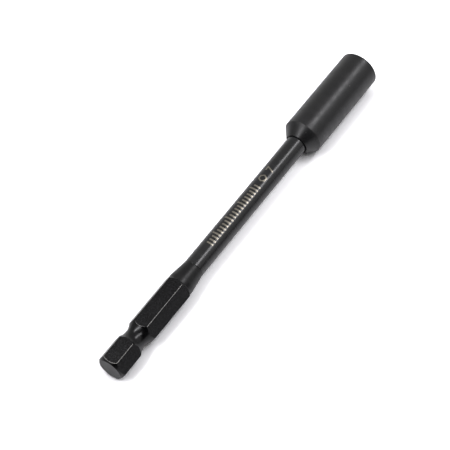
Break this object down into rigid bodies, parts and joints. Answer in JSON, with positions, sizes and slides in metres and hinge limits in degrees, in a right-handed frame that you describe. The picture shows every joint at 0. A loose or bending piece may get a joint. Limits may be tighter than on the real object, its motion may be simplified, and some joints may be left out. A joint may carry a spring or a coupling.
{
  "type": "nut driver bit",
  "caption": "Slim black steel nut driver bit: hex drive shank with a ball groove, tapering to a round shaft that is pressed into a deep hex socket head.",
  "frame": {"origin": "centre of the flat end face of the hex drive shank", "axes": "+X along the tool's axis from the drive end to the socket mouth, +Z out of one drive flat"},
  "size_m": [0.1016, 0.0098, 0.0098],
  "materials": {
    "bar_steel": "black oxide on ground hex flats and a fine turned shaft, with bare steel showing along worn edges",
    "socket_steel": "satin black oxide over fine turning marks"
  },
  "bodies": {
    "root": {"drive_bar": "bar_steel", "socket_head": "socket_steel"}
  },
  "joints": []
}
